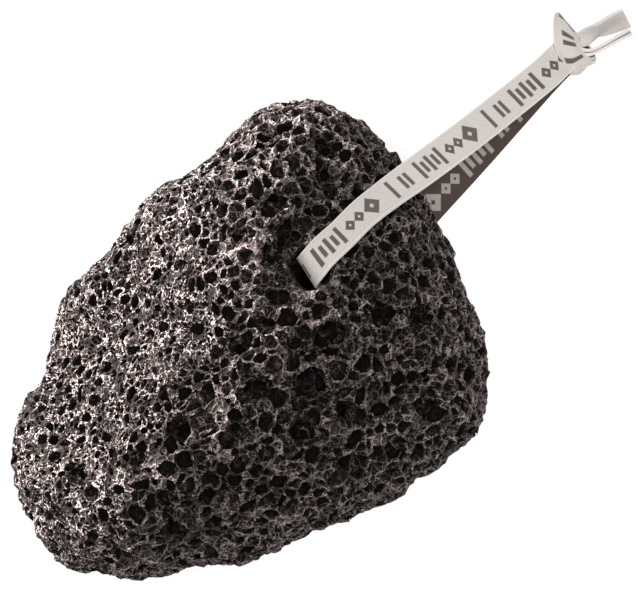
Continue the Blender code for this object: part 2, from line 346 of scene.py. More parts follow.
class RibbonSettings(bpy.types.PropertyGroup):
    """Sizes and colours of the woven ribbon."""

    width: FloatProperty(
        name="Width", description="Width of the woven ribbon",
        default=0.006, min=0.002, max=0.02, unit="LENGTH", precision=4,
    )
    thickness: FloatProperty(
        name="Thickness", description="Thickness of the woven ribbon",
        default=0.00055, min=0.0002, max=0.002, unit="LENGTH", precision=5,
    )
    rib: FloatProperty(
        name="Rib spacing", description="Distance between two ribs of the herringbone weave",
        default=0.00105, min=0.0003, max=0.003, unit="LENGTH", precision=5,
    )
    face_colour: FloatVectorProperty(
        name="Face", description="Colour of the ribbon's cream face",
        subtype="COLOR", default=(0.79, 0.735, 0.695), min=0.0, max=1.0,
    )
    motif_colour: FloatVectorProperty(
        name="Motif", description="Colour of the woven motif on the face",
        subtype="COLOR", default=(0.105, 0.075, 0.066), min=0.0, max=1.0,
    )
    back_colour: FloatVectorProperty(
        name="Back", description="Colour of the ribbon's brown back",
        subtype="COLOR", default=(0.088, 0.060, 0.051), min=0.0, max=1.0,
    )


class StudioSettings(bpy.types.PropertyGroup):
    """Powers of the lights and the place of the key light."""

    key_power: FloatProperty(
        name="Key light", description="Power of the low light from the left",
        default=45.0, min=0.0, max=500.0, unit="POWER",
    )
    fill_power: FloatProperty(
        name="Fill light", description="Power of the large soft light overhead",
        default=10.8, min=0.0, max=100.0, unit="POWER",
    )
    floor_power: FloatProperty(
        name="Floor light", description="Power of the light that brightens the floor alone",
        default=42.0, min=0.0, max=500.0, unit="POWER",
    )
    ribbon_power: FloatProperty(
        name="Ribbon light", description="Power of the soft light that lifts the ribbon alone",
        default=3.6, min=0.0, max=100.0, unit="POWER",
    )
    key_elevation: FloatProperty(
        name="Key elevation", description="Height of the key light above the floor",
        default=math.radians(13.0), min=0.0, max=math.radians(90.0), subtype="ANGLE",
    )
    key_azimuth: FloatProperty(
        name="Key azimuth", description="Direction that the key light comes from",
        default=math.radians(143.0), min=0.0, max=math.radians(360.0), subtype="ANGLE",
    )


# ---------------------------------------------------------------- small helpers
def deselect():
    if bpy.context.object and bpy.context.object.mode != "OBJECT":
        bpy.ops.object.mode_set(mode="OBJECT")
    bpy.ops.object.select_all(action="DESELECT")


def take(obj):
    deselect()
    obj.select_set(True)
    bpy.context.view_layer.objects.active = obj


def apply_modifier(obj, name, kind, **values):
    step = obj.modifiers.new(name, kind)
    for key, value in values.items():
        setattr(step, key, value)
    take(obj)
    bpy.ops.object.modifier_apply(modifier=step.name)


def catmull(a, b, c, d, t):
    """Point between b and c on a smooth curve through a, b, c and d."""
    return 0.5 * (
        2 * b + (c - a) * t + (2 * a - 5 * b + 4 * c - d) * t * t + (3 * b - a - 3 * c + d) * t * t * t
    )


def new_material(name):
    made = bpy.data.materials.new(name)
    made.use_nodes = True
    return made, made.node_tree, made.node_tree.nodes["Principled BSDF"]


class Nodes:
    """Short names for adding linked shader nodes."""

    def __init__(self, tree):
        self.tree = tree

    def add(self, kind, **values):
        node = self.tree.nodes.new(kind)
        for key, value in values.items():
            setattr(node, key, value)
        return node

    def stored(self, name):
        return self.add("ShaderNodeAttribute", attribute_name=name).outputs["Fac"]

    def feed(self, socket, value):
        if isinstance(value, bpy.types.NodeSocket):
            self.tree.links.new(value, socket)
        else:
            socket.default_value = value

    def maths(self, operation, a, b=0.0, c=0.0, clamp=False):
        node = self.add("ShaderNodeMath", operation=operation, use_clamp=clamp)
        for socket, value in zip(node.inputs, (a, b, c)):
            self.feed(socket, value)
        return node.outputs[0]

    def mix(self, share, a, b):
        node = self.add("ShaderNodeMix", data_type="RGBA")
        self.feed(node.inputs[0], share)
        self.feed(node.inputs[6], a)
        self.feed(node.inputs[7], b)
        return node.outputs[2]

    def blend(self, share, a, b):
        """A number between a and b."""
        return self.maths("MULTIPLY_ADD", share, self.maths("SUBTRACT", b, a), a)

    def ramp(self, value, low, high, to_low=0.0, to_high=1.0):
        node = self.add("ShaderNodeMapRange", clamp=True)
        for socket, number in zip(node.inputs, (value, low, high, to_low, to_high)):
            self.feed(socket, number)
        return node.outputs[0]

    def noise(self, place, scale, detail=2.0, roughness=0.6):
        node = self.add("ShaderNodeTexNoise")
        self.feed(node.inputs["Vector"], place)
        node.inputs["Scale"].default_value = scale
        node.inputs["Detail"].default_value = detail
        node.inputs["Roughness"].default_value = roughness
        return node.outputs["Fac"]

    def film_distance(self, place, scale):
        """Distance to the film between two foam pores."""
        node = self.add("ShaderNodeTexVoronoi", feature="DISTANCE_TO_EDGE")
        self.feed(node.inputs["Vector"], place)
        node.inputs["Scale"].default_value = scale
        return node.outputs["Distance"]

    def bump(self, height, distance, strength=1.0, under=None):
        node = self.add("ShaderNodeBump")
        self.feed(node.inputs["Height"], height)
        node.inputs["Distance"].default_value = distance
        node.inputs["Strength"].default_value = strength
        if under is not None:
            self.feed(node.inputs["Normal"], under)
        return node.outputs["Normal"]


def rgba(colour):
    return (*colour, 1.0)


# ---------------------------------------------------------------- ribbon
def smooth_route(route):
    """The route's rows with smooth rows between them. A row without a fold lies flat."""
    rows = [Vector(tuple(row) + (0.0,) * (6 - len(row))) for row in route]
    rows = [rows[0]] + rows + [rows[-1]]
    out = []
    for k in range(len(route) - 1):
        for j in range(STATIONS_PER_SPAN):
            out.append(Vector(catmull(*rows[k:k + 4], j / STATIONS_PER_SPAN)))
    out.append(rows[-1])
    return out


def route_sections(rows, width, strips):
    """Cross-sections of a ribbon along the rows, in metres, each creased by its row's fold."""
    middles = [Vector(row[:3]) * MM for row in rows]
    sections = []
    for k, row in enumerate(rows):
        heading, roll, fold = (math.radians(angle) for angle in row[3:6])
        level = math.cos(roll)
        across = Vector((math.cos(heading) * level, math.sin(heading) * level, math.sin(roll)))
        along = (middles[min(k + 1, len(rows) - 1)] - middles[max(k - 1, 0)]).normalized()
        lift = along.cross(across).normalized()
        soft = CREASE_SOFTNESS * width
        section = []
        for j in range(strips + 1):
            side = (j / strips - 0.5) * width
            rise = math.sqrt(side * side + soft * soft) - soft
            point = middles[k] + across * (side * math.cos(fold))
            section.append(point + lift * (rise * math.sin(fold)))
        sections.append(section)
    return sections


def weave_strip(name, sections, settings):
    """A woven tape through cross-sections, with UV across (0 to 1) and along (in ribbon widths)."""
    strips = len(sections[0]) - 1
    deselect()
    bpy.ops.mesh.primitive_grid_add(x_subdivisions=strips, y_subdivisions=len(sections) - 1, size=1.0)
    tape = bpy.context.object
    tape.name = tape.data.name = name
    ordered = sorted(tape.data.vertices, key=lambda v: (round(v.co.y, 6), v.co.x))
    along = [0.0]
    for before, after in zip(sections, sections[1:]):
        along.append(along[-1] + (after[strips // 2] - before[strips // 2]).length / settings.width)
    place = {}
    for index, vert in enumerate(ordered):
        row, column = divmod(index, strips + 1)
        vert.co = sections[row][column]
        place[vert.index] = (column / strips, along[row])
    layer = tape.data.uv_layers.active
    layer.name = "weave"
    for loop in tape.data.loops:
        layer.data[loop.index].uv = place[loop.vertex_index]
    take(tape)
    bpy.ops.object.mode_set(mode="EDIT")
    bpy.ops.mesh.select_all(action="SELECT")
    bpy.ops.mesh.flip_normals()
    bpy.ops.object.mode_set(mode="OBJECT")
    tape.data.materials.append(bpy.data.materials["ribbon_face"])
    tape.data.materials.append(bpy.data.materials["ribbon_back"])
    apply_modifier(
        tape, "thickness", "SOLIDIFY", thickness=settings.thickness, offset=0.0, use_even_offset=False,
        material_offset=1, material_offset_rim=0,
    )
    take(tape)
    bpy.ops.object.shade_smooth_by_angle(angle=math.radians(RIBBON_SMOOTH_DEG))
    return tape


def motif_mask(n, u, v):
    """Lozenges and short bars, woven in groups along the tape."""
    middle = n.maths("ABSOLUTE", n.maths("SUBTRACT", u, 0.5))
    period = n.maths("FRACT", n.maths("DIVIDE", v, MOTIF_PERIOD))
    masks = []
    for centre, half_long, half_wide in MOTIF_LOZENGES:
        off = n.maths("ABSOLUTE", n.maths("SUBTRACT", period, centre / MOTIF_PERIOD))
        long_share = n.maths("MULTIPLY", off, MOTIF_PERIOD / half_long)
        reach = n.maths("ADD", long_share, n.maths("DIVIDE", middle, half_wide))
        masks.append(n.maths("MULTIPLY", n.ramp(reach, *LOZENGE_EDGE), n.ramp(reach, *LOZENGE_HOLE)))
    for centre, half_wide in MOTIF_BARS:
        off = n.maths("ABSOLUTE", n.maths("SUBTRACT", period, centre / MOTIF_PERIOD))
        across = n.ramp(middle, half_wide + BAR_END, half_wide - BAR_END)
        along = n.ramp(off, *(edge / MOTIF_PERIOD for edge in BAR_EDGE))
        masks.append(n.maths("MULTIPLY", along, across))
    total = masks[0]
    for mask in masks[1:]:
        total = n.maths("MAXIMUM", total, mask)
    return total


def tint(colour, factor):
    """The colour made lighter or darker, with no channel above 1."""
    return rgba([min(1.0, channel * factor) for channel in colour])


def ribbon_material(name, settings, ground, motif, groove_shade, bare=False):
    """Woven cloth: slanting ribs in the ground colour, painted shade in their grooves, and the motif
    unless it is bare.
    """
    _, tree, shader = new_material(name)
    n = Nodes(tree)
    uv = n.add("ShaderNodeUVMap", uv_map="weave").outputs[0]
    split = n.add("ShaderNodeSeparateXYZ")
    n.feed(split.inputs[0], uv)
    u, v = split.outputs[0], split.outputs[1]
    per_width = settings.width / settings.rib
    middle = n.maths("ABSOLUTE", n.maths("SUBTRACT", u, 0.5))
    slant = n.maths("SUBTRACT", v, n.maths("MULTIPLY", middle, HERRINGBONE_SLOPE))
    slant = n.maths("MULTIPLY", slant, per_width * math.tau)
    rib = n.maths("MULTIPLY_ADD", n.maths("SINE", slant), 0.5, 0.5)
    threads_across = n.maths("MULTIPLY", u, WARP_THREADS * math.tau)
    warp = n.maths("MULTIPLY_ADD", n.maths("SINE", threads_across), 0.5, 0.5)
    selvage = n.ramp(middle, *SELVAGE)
    spine = n.ramp(middle, *SPINE)
    height = n.maths("ADD", rib, n.maths("MULTIPLY", warp, 0.35))
    height = n.maths("SUBTRACT", height, n.maths("MULTIPLY", spine, 0.5))
    height = n.mix(selvage, height, n.maths("MULTIPLY", warp, 0.9))
    spread = n.add("ShaderNodeCombineXYZ")
    for axis, (share, stretch) in enumerate(zip((u, v), SLUB_STRETCH)):
        n.feed(spread.inputs[axis], n.maths("MULTIPLY", share, stretch))
    slub = n.noise(spread.outputs[0], 1.0, 3.0)
    # Painted shade: the grooves between the ribs darken towards the groove shade colour; the dark line
    # along each edge is woven.
    grooves = n.ramp(rib, 0.0, 0.55, 0.76, 1.0)
    threads = n.mix(slub, tint(ground, 0.84), tint(ground, 1.14))
    edge_line = n.maths("MULTIPLY", n.ramp(middle, *EDGE_LINE[:2]), n.ramp(middle, *EDGE_LINE[2:]))
    shade = n.maths("MAXIMUM", n.maths("SUBTRACT", 1.0, grooves), n.maths("MULTIPLY", edge_line, 0.20))
    threads = n.mix(shade, threads, rgba(groove_shade))
    colour = n.mix(n.maths("MULTIPLY", selvage, 0.5), threads, tint(ground, 1.22))
    if not bare:
        mask = motif_mask(n, u, v)
        dyed = n.mix(slub, tint(motif, 0.75), tint(motif, 1.2))
        colour = n.mix(n.maths("MULTIPLY", mask, 0.94), colour, dyed)
        height = n.maths("ADD", height, n.maths("MULTIPLY", mask, 0.6))
    n.feed(shader.inputs["Base Color"], colour)
    shader.inputs["Roughness"].default_value = 0.88
    shader.inputs["Sheen Weight"].default_value = 0.25
    shader.inputs["Sheen Roughness"].default_value = 0.5
    n.feed(shader.inputs["Normal"], n.bump(height, WEAVE_HEIGHT, 0.8))


RIBBON_FACTS = {}


class PUMICE_OT_ribbon_loop(bpy.types.Operator):
    """Lays the woven ribbon through the bore, from the knot and back to it."""

    bl_idname = "pumice.ribbon_loop"
    bl_label = "Ribbon Loop"

    def execute(self, context):
        settings = context.scene.pumice_ribbon
        face, back, motif = settings.face_colour, settings.back_colour, settings.motif_colour
        # Painted shade colour for the grooves between the ribs.
        groove_shade = [c * 0.55 for c in face]
        ribbon_material("ribbon_face", settings, face, motif, groove_shade)
        ribbon_material("ribbon_bare", settings, face, motif, groove_shade, bare=True)
        pale, shaded = [c * 0.62 for c in face], [c * 0.45 for c in back]
        ribbon_material("ribbon_back", settings, back, pale, shaded)
        rows = smooth_route(RIBBON_ROUTE)
        loop = weave_strip("ribbon_loop", route_sections(rows, settings.width, LOOP_STRIPS), settings)
        path = [tuple(Vector(row[:3]) * MM) for row in rows]
        length = sum((Vector(b) - Vector(a)).length for a, b in zip(path, path[1:]))
        exit_point = tuple(Vector(RIBBON_ROUTE[0][:3]) * MM)
        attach(loop, "root")
        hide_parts("ribbon")
        RIBBON_FACTS.update(loop=loop, path=path, length=length, exit_point=exit_point)
        return {"FINISHED"}


def sleeve_sections():
    """Cross-sections of the band wound about the knot, each from its wide rim to its narrow rim."""
    wide, wide_heading, wide_half = KNOT_WIDE_RIM
    narrow, narrow_heading, narrow_half = KNOT_NARROW_RIM
    wide, narrow = Vector(wide), Vector(narrow)
    axis = (narrow - wide).normalized()
    sections = []
    for k in range(KNOT_STATIONS + 1):
        turn = KNOT_TURNS * k / KNOT_STATIONS
        angle = math.radians(KNOT_START_DEG) + turn * math.tau
        grow = KNOT_LAYER_STEP * (turn - KNOT_TURNS)
        section = []
        for j in range(KNOT_STRIPS + 1):
            share = j / KNOT_STRIPS
            heading = math.radians(wide_heading * (1 - share) + narrow_heading * share)
            side = Vector((math.cos(heading), math.sin(heading), 0.0))
            wave = math.sin(KNOT_WRINKLES * angle + KNOT_WRINKLE_TWIST * share)
            swell = (KNOT_BULGE + KNOT_WRINKLE * wave) * 4 * share * (1 - share)
            # The narrow rim flares out and the wide rim turns in.
            lip = KNOT_FLARE * share ** 8 - KNOT_LIP * (1 - share) ** 6
            flat = wide_half[0] * (1 - share) + narrow_half[0] * share + grow + swell + lip
            tall = wide_half[1] * (1 - share) + narrow_half[1] * share + grow + swell * 0.6 + lip * 0.5
            # The wide rim is rounded at its two ends, both rims lean, and the lower end is cut back.
            tuck = axis * (KNOT_ROUNDING * (1 - share) ** 3 * abs(math.cos(angle)) ** 5)
            tilt = KNOT_EYE_TILT * share ** 2 + KNOT_RIM_TILT * (1 - share) ** 2
            tuck -= axis * (tilt * math.sin(angle))
            tuck += axis * (KNOT_UNDERCUT * (1 - share) ** 2 * max(0.0, -0.1 - math.cos(angle)) ** 1.5)
            middle = wide.lerp(narrow, share) + tuck
            reach = side * (flat * math.cos(angle)) + Vector((0, 0, tall * math.sin(angle)))
            section.append((middle + reach) * MM)
        sections.append(section)
    return sections


class PUMICE_OT_ribbon_knot(bpy.types.Operator):
    """Winds the knot's sleeve and lays its two short tails."""

    bl_idname = "pumice.ribbon_knot"
    bl_label = "Ribbon Knot and Tails"

    def execute(self, context):
        settings = context.scene.pumice_ribbon
        knot = weave_strip("ribbon_knot", sleeve_sections(), settings)
        tails = []
        routes = {"ribbon_tail_upper": UPPER_TAIL_ROUTE, "ribbon_tail_lower": LOWER_TAIL_ROUTE}
        for name, route in routes.items():
            sections = route_sections(smooth_route(route), settings.width, TAIL_STRIPS)
            tails.append(weave_strip(name, sections, settings))
        tails[0].data.materials[0] = bpy.data.materials["ribbon_bare"]
        for piece in (RIBBON_FACTS["loop"], knot, *tails):
            bpy.data.collections["ribbon_only"].objects.link(piece)
            keep_from_key(piece)
        for piece in (knot, *tails):
            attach(piece, "root")
            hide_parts("ribbon")
        return {"FINISHED"}


# ---------------------------------------------------------------- stone
def left_of_crest(points):
    """How far each point lies to the left of the stone's ridge, in millimetres."""
    return np.interp(points[:, 1] / MM, CREST_Y, CREST_X) - points[:, 0] / MM


def bore_distance(points):
    top, foot = np.array(BORE_TOP) * MM, np.array(BORE_FOOT) * MM
    along = (foot - top) / np.linalg.norm(foot - top)
    offset = points - top
    return np.linalg.norm(offset - np.outer(offset @ along, along), axis=1)


def flank_share(points):
    """1 on the fine flank to the left of the ridge, 0 on the coarse side, and a soft step between."""
    return np.clip((left_of_crest(points) + FLANK_START) / FLANK_BLEND, 0.0, 1.0)


def fineness(points, normals):
    """1 where the cells are fine, on the upper side of the left flank, and 0 where they are coarse."""
    flank = flank_share(points)
    upper = np.clip((normals[:, 2] + 0.15) / 0.3, 0.0, 1.0)
    return flank * upper


def vertex_places(mesh):
    places = np.empty(len(mesh.vertices) * 3, np.float32)
    mesh.vertices.foreach_get("co", places)
    return places.reshape(-1, 3)


def triangle_corners(mesh):
    mesh.calc_loop_triangles()
    corners = np.empty(len(mesh.loop_triangles) * 3, np.int32)
    mesh.loop_triangles.foreach_get("vertices", corners)
    return corners.reshape(-1, 3)


def surface_samples(obj, count, rng):
    """Points spread evenly over the surface, each with the normal of its triangle."""
    corners = triangle_corners(obj.data)
    places = vertex_places(obj.data).astype(np.float64)
    a, b, c = (places[corners[:, k]] for k in range(3))
    normals = np.cross(b - a, c - a)
    areas = np.linalg.norm(normals, axis=1)
    normals /= np.maximum(areas, 1e-15)[:, None]
    pick = rng.choice(len(areas), size=count, p=areas / areas.sum())
    s, t = np.sqrt(rng.random((count, 1))), rng.random((count, 1))
    return (1 - s) * a[pick] + s * (1 - t) * b[pick] + s * t * c[pick], normals[pick]


class Bubbles:
    """Bubble centres, sizes and normals, kept in a grid so that neighbours are found quickly."""

    def __init__(self, pitch, reach):
        self.pitch, self.reach = pitch, reach
        self.grid, self.centres, self.radii, self.normals = {}, [], [], []

    def key(self, centre):
        return tuple(int(math.floor(v / self.pitch)) for v in centre)

    def near(self, centre):
        steps = int(math.ceil(self.reach / self.pitch))
        base = self.key(centre)
        for dx in range(-steps, steps + 1):
            for dy in range(-steps, steps + 1):
                for dz in range(-steps, steps + 1):
                    yield from self.grid.get((base[0] + dx, base[1] + dy, base[2] + dz), ())

    def add(self, centre, radius, normal):
        self.grid.setdefault(self.key(centre), []).append(len(self.centres))
        self.centres.append(tuple(float(v) for v in centre))
        self.radii.append(float(radius))
        self.normals.append(tuple(float(v) for v in normal))

    def room(self, centre, radius, least, overlap):
        """The radius that fits at the centre, or 0 where less than the least one does."""
        x, y, z = centre
        for k in self.near(centre):
            ox, oy, oz = self.centres[k]
            gap = math.sqrt((x - ox) ** 2 + (y - oy) ** 2 + (z - oz) ** 2)
            fit = gap / overlap - self.radii[k]
            if fit < radius:
                radius = fit
                if radius < least:
                    return 0.0
        return radius


def foam_cells(obj, rng):
    """The placed large cells, then ever smaller ones wherever there is room on the surface."""
    bubbles = Bubbles(pitch=0.003, reach=0.0031)
    tree = BVHTree.FromObject(obj, bpy.context.evaluated_depsgraph_get())
    for x, y, opening in LARGE_CELLS:
        radius = opening * LARGE_CELL_SWELL
        hit, normal, _, _ = tree.ray_cast(Vector((x * MM, y * MM, 0.1)), Vector((0, 0, -1)))
        bubbles.add(hit - normal * (radius * MM * LARGE_CELL_SINK), radius * MM, normal)
    for tries, low, high, fine_size, fine_tries, overlap in CELL_PASSES:
        points, normals = surface_samples(obj, tries, rng)
        fine = fineness(points, normals)
        share = 1 - fine * (1 - fine_size)
        skip = rng.random(tries) < fine * (1 - fine_tries)
        from_bore = bore_distance(points)
        sizes = rng.uniform(low, high, tries) * MM * share
        sink = rng.uniform(0.0, DEEPEST_SINK, tries)
        for k in range(tries):
            if skip[k] or from_bore[k] < sizes[k] + BORE_KEEP * MM:
                continue
            centre = points[k] - normals[k] * sizes[k] * sink[k]
            radius = bubbles.room(centre, sizes[k], low * MM * share[k] * LEAST_FIT, overlap)
            if radius:
                bubbles.add(centre, radius, normals[k])
    return bubbles


def ball(level):
    """Points and faces of a ball of radius 1."""
    bm = bmesh.new()
    bmesh.ops.create_icosphere(bm, subdivisions=level, radius=1.0)
    points = np.array([v.co[:] for v in bm.verts])
    faces = np.array([[v.index for v in f.verts] for f in bm.faces])
    bm.free()
    return points, faces


def cell_cutter(name, bubbles, wall, rough, rng, level_of, swell, depths):
    """One mesh of cells that swell until they meet, each held back from its neighbours by a wall."""
    centres, radii, normals = (np.array(v) for v in (bubbles.centres, bubbles.radii, bubbles.normals))
    balls = {level: ball(level) for level in (1, 2, 3)}
    finder = kdtree.KDTree(len(centres))
    for k, centre in enumerate(centres):
        finder.insert(centre, k)
    finder.balance()
    largest = radii.max()
    all_points, all_faces, count = [], [], 0
    for k, (centre, radius) in enumerate(zip(centres, radii)):
        rays, faces = balls[level_of(radius)]
        angle = rng.uniform(0, math.tau)
        turn = np.array(Matrix.Rotation(angle, 3, Vector(rng.normal(size=3)).normalized()))
        squash = rng.uniform(SQUASH_LEAST, SQUASH_MOST)
        reach = swell * radius / np.sqrt(((rays / squash) ** 2).sum(axis=1))
        rays = rays @ turn.T
        inward = -(rays @ normals[k])
        floor = radius * rng.uniform(*depths) * (1 + FLOOR_UNEVEN * rng.random(len(rays)))
        reach = np.where(inward > 0.05, np.minimum(reach, floor / np.maximum(inward, 0.05)), reach)
        ways, limits = [], []
        for _, index, gap in finder.find_range(centre, swell * (radius + largest) + wall):
            if index == k or gap > swell * (radius + radii[index]) + wall or gap < 1e-7:
                continue
            ways.append((centres[index] - centre) / gap)
            limits.append((gap * gap + radius ** 2 - radii[index] ** 2) / (2 * gap) - wall / 2)
        if ways:
            limits = np.array(limits)
            if limits.min() < CLOSED_IN * radius:
                continue
            facing = rays @ np.array(ways).T
            planes = np.where(facing > 0.02, limits / np.maximum(facing, 0.02), 1.0).min(axis=1)
            reach = np.minimum(reach, planes)
        reach = reach * (1 - rough * rng.random(len(reach)))
        all_points.append(rays * reach[:, None] + centre)
        all_faces.append(faces + count)
        count += len(rays)
    points = swirl(np.concatenate(all_points), np.random.default_rng(SWIRL_SEED))
    mesh = bpy.data.meshes.new(name)
    mesh.from_pydata(points.tolist(), [], np.concatenate(all_faces).tolist())
    cutter = bpy.data.objects.new(name, mesh)
    bpy.context.scene.collection.objects.link(cutter)
    return cutter


def swirl(points, rng):
    """Bends space smoothly, so that the bubbles are pulled out of round together."""
    moved = points.copy()
    for size, shift, waves in SWIRLS:
        for _ in range(waves):
            way = rng.normal(size=3)
            way *= math.tau / (size * rng.uniform(0.7, 1.4) * np.linalg.norm(way))
            push = rng.normal(size=3)
            push *= shift / (math.sqrt(waves) * np.linalg.norm(push))
            moved += np.sin(points @ way + rng.uniform(0, math.tau))[:, None] * push
    return moved


def cut(obj, cutter):
    apply_modifier(obj, "cut", "BOOLEAN", operation="DIFFERENCE", solver="MANIFOLD", object=cutter)
    bpy.data.objects.remove(cutter)


def stone_blank(settings):
    """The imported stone's own form, remeshed and given its ledges and knobs."""
    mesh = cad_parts["stone"].data.copy()
    mesh.name = "pumice_stone"
    stone = bpy.data.objects.new("pumice_stone", mesh)
    bpy.context.scene.collection.objects.link(stone)
    take(stone)
    bpy.ops.object.mode_set(mode="EDIT")
    bpy.ops.mesh.select_all(action="SELECT")
    bpy.ops.mesh.remove_doubles(threshold=1e-6)
    bpy.ops.object.mode_set(mode="OBJECT")
    apply_modifier(stone, "voxels", "REMESH", mode="VOXEL", voxel_size=settings.voxel, adaptivity=0.0)
    apply_modifier(stone, "ease", "SMOOTH", factor=0.5, iterations=BLANK_EASE)
    for name, size, strength in BLANK_NOISE:
        clouds = bpy.data.textures.new(name, "CLOUDS")
        clouds.noise_scale = size
        clouds.noise_depth = 2
        apply_modifier(
            stone, name, "DISPLACE", texture=clouds, strength=strength, mid_level=0.5,
            texture_coords="LOCAL",
        )
    return stone


def small_cells(obj, rng):
    """Small cells on every surface so far, the walls of the foam cells among them."""
    bubbles = Bubbles(pitch=0.0012, reach=0.001)
    points, normals = surface_samples(obj, SMALL_TRIES, rng)
    from_bore = bore_distance(points)
    sizes = rng.uniform(*SMALL_RADII, SMALL_TRIES) * MM
    for k in range(SMALL_TRIES):
        if from_bore[k] < sizes[k] + BORE_KEEP * MM:
            continue
        centre = points[k] - normals[k] * sizes[k] * SMALL_SINK
        radius = bubbles.room(centre, sizes[k], SMALL_LEAST * MM, SMALL_OVERLAP)
        if radius:
            bubbles.add(centre, radius, normals[k])
        if len(bubbles.radii) >= SMALL_MOST:
            break
    return bubbles


def thin(obj, settings):
    """Thins the mesh region by region, so that each keeps its own share of the triangles."""
    for region, share in TRIANGLE_SHARES:
        places = vertex_places(obj.data)
        under = places[:, 2] < UNDER_HEIGHT * MM
        flank = ~under & (left_of_crest(places) > 0)
        here = {"under": under, "flank": flank, "gentle": ~under & ~flank}[region]
        group = obj.vertex_groups.new(name=region)
        group.add(np.flatnonzero(here).tolist(), 1.0, "REPLACE")
        corners = triangle_corners(obj.data)
        total = len(corners)
        goal = total - int(here[corners[:, 0]].sum()) + settings.triangles * share
        if goal < total:
            apply_modifier(
                obj, "thin", "DECIMATE", ratio=goal / total, vertex_group=region,
                vertex_group_factor=1.0,
            )
        obj.vertex_groups.clear()


def settle(obj):
    """Removes slivers and loose crumbs, and flattens the stone where it rests on the floor."""
    bm = bmesh.new()
    bm.from_mesh(obj.data)
    bmesh.ops.triangulate(bm, faces=bm.faces)
    bmesh.ops.dissolve_degenerate(bm, dist=2e-6, edges=bm.edges)
    loose = set(bm.verts)
    largest = []
    while loose:
        front = [loose.pop()]
        island = []
        while front:
            vert = front.pop()
            island.append(vert)
            for edge in vert.link_edges:
                other = edge.other_vert(vert)
                if other in loose:
                    loose.remove(other)
                    front.append(other)
        if len(island) > len(largest):
            largest = island
    keep = set(largest)
    bmesh.ops.delete(bm, geom=[v for v in bm.verts if v not in keep], context="VERTS")
    for vert in bm.verts:
        vert.co.z = max(vert.co.z, 0.0)
    bm.to_mesh(obj.data)
    bm.free()
    obj.data.update()


def store(obj, name, values):
    stored = obj.data.attributes.new(name, "FLOAT", "POINT")
    stored.data.foreach_set("value", values)


def openness(obj):
    """Stores on each point how much sky it sees, so that the material can paint shade into cells and light
    onto rims.
    """
    tree = BVHTree.FromObject(obj, bpy.context.evaluated_depsgraph_get())
    ways = [Vector((0, 0, 1))]
    for ring, (height, number) in enumerate(SKY_RINGS):
        for k in range(number):
            angle = math.tau * (k + 0.37 * ring) / number
            flat = math.sqrt(1 - height * height)
            ways.append(Vector((flat * math.cos(angle), flat * math.sin(angle), height)))
    open_shares = []
    for vert in obj.data.vertices:
        turn = vert.normal.to_track_quat("Z", "Y")
        start = vert.co + vert.normal * SKY_START
        seen = sum(1 for way in ways if tree.ray_cast(start, turn @ way, SKY_REACH)[0] is None)
        open_shares.append(seen / len(ways))
    store(obj, "open", open_shares)


def dust_loss_and_painted_shade(obj):
    """Stores on each point its dust loss, from the coarse side and from the painted shade patches, and its
    flank share.
    """
    places = vertex_places(obj.data)
    flank = flank_share(places)
    dark = COARSE_DUST_LOSS * (1 - flank)
    # Painted shade in the listed patches.
    for x, y, radius, share in PAINTED_SHADE_PATCHES:
        off = np.hypot(places[:, 0] / MM - x, places[:, 1] / MM - y) / radius
        dark = np.maximum(dark, share * np.clip(1.5 - off, 0.0, 1.0))
    store(obj, "dust_loss_and_painted_shade", dark.astype(np.float32))
    store(obj, "fine", flank.astype(np.float32))


def bent_space(n, place):
    """Object space with a fine ripple, so that the films between pores aren't straight."""
    ripple = n.add("ShaderNodeTexNoise")
    n.feed(ripple.inputs["Vector"], place)
    ripple.inputs["Scale"].default_value = BEND_SCALE
    shift = n.add("ShaderNodeVectorMath", operation="MULTIPLY_ADD")
    n.feed(shift.inputs[0], ripple.outputs["Color"])
    shift.inputs[1].default_value = (BEND, BEND, BEND)
    n.feed(shift.inputs[2], place)
    return shift.outputs[0]


